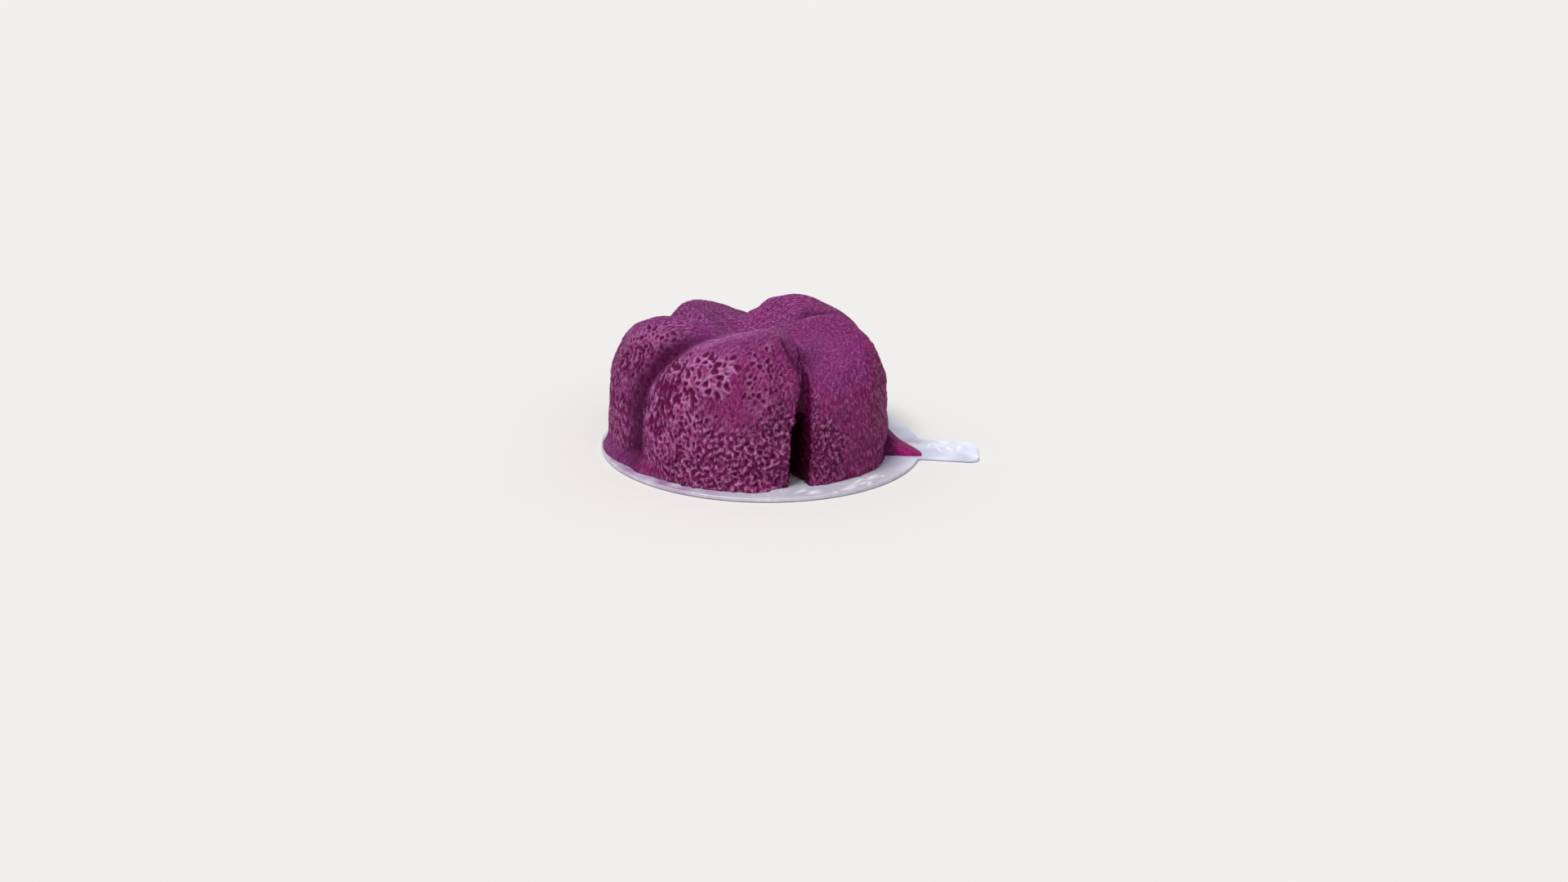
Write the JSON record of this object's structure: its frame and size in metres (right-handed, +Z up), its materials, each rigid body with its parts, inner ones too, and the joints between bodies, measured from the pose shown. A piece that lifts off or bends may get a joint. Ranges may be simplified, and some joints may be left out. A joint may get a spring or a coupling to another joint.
{
  "type": "moulded cake on a tabbed cake board",
  "caption": "Small round moulded cake with swirling lobes, pitted crumb and a side crack, resting on a silver card board with a pull tab.",
  "frame": {"origin": "centre of the round board's underside, on the surface that it stands on", "axes": "+X along the board's pull tab, +Z up through the cake, +Y to the back as the tab points right"},
  "size_m": [0.0942, 0.08, 0.0347],
  "materials": {
    "cake_crumb": "velvety purple-magenta crumb with pits and wrinkles",
    "silver_card": "satin metallised film over white card"
  },
  "bodies": {
    "root": {"cake": "cake_crumb", "cake_board": "silver_card"}
  },
  "joints": []
}
